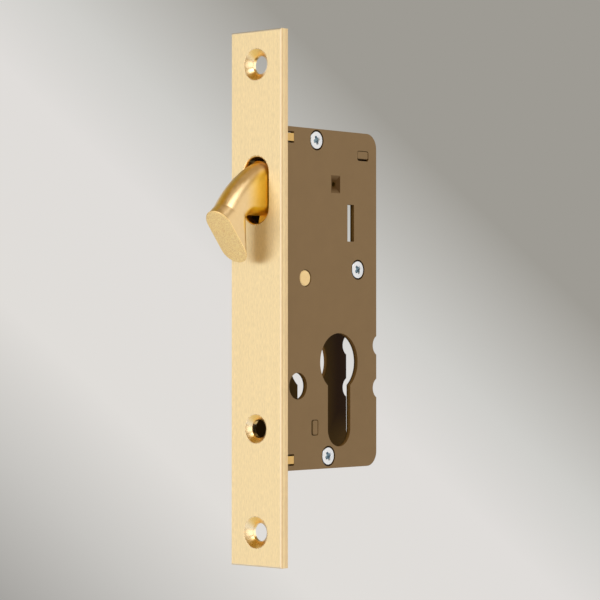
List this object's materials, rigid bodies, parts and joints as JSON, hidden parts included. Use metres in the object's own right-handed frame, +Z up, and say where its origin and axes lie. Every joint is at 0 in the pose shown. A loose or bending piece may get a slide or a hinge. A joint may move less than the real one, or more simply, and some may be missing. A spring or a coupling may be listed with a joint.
{
  "type": "sliding door mortise lock",
  "caption": "narrow brass forend with a round-backed hook bolt that swings out of its slot, on a two-plate case cut out for a profile cylinder",
  "frame": {"origin": "centre of the forend's front face", "axes": "+Y runs back into the door, +Z up along the forend, +X across the case towards the cover plate"},
  "size_m": [0.02, 0.0663, 0.158],
  "materials": {
    "forend": "satin, fine upright brushing",
    "upper_lug": "satin",
    "lower_lug": "satin",
    "back_plate": "matte bronze brown",
    "cover_plate": "matte bronze brown",
    "upper_post": "turned",
    "rear_post": "turned",
    "lower_post": "turned",
    "cover_screws": "bright zinc",
    "spring_bar": "matte bronze brown",
    "screw_guide": "matte bronze brown",
    "hook_pin": "satin",
    "slide_bush": "turned",
    "pivot_washer": "turned",
    "rear_sleeve": "turned",
    "slide_spring": "spring wire",
    "hook": "satin, polished back",
    "locking_pin": "turned",
    "locking_slide": "stamped",
    "spring_stem": "turned"
  },
  "bodies": {
    "case": {"forend": "forend", "upper_lug": "upper_lug", "lower_lug": "lower_lug", "back_plate": "back_plate", "cover_plate": "cover_plate", "upper_post": "upper_post", "rear_post": "rear_post", "lower_post": "lower_post", "cover_screws": "cover_screws", "spring_bar": "spring_bar", "screw_guide": "screw_guide", "hook_pin": "hook_pin", "slide_bush": "slide_bush", "pivot_washer": "pivot_washer", "rear_sleeve": "rear_sleeve", "slide_spring": "slide_spring"},
    "hook": {"hook": "hook", "locking_pin": "locking_pin"},
    "slide": {"locking_slide": "locking_slide", "spring_stem": "spring_stem"}
  },
  "joints": [
    {"name": "hook_turn", "type": "hinge", "parent": "case", "child": "hook", "pos_m": [0, 0.0145, 0.0061], "axis": [-1, 0, 0], "range_deg": [0, 39]},
    {"name": "slide_lift", "type": "slide", "parent": "case", "child": "slide", "axis": [0, 0, 1], "range_m": [0, 0.0048], "deforming": ["slide_spring"]}
  ],
  "couplings": [
    {"joint": "slide_lift", "follows": "hook_turn", "m_per_rad": 0.007051}
  ]
}
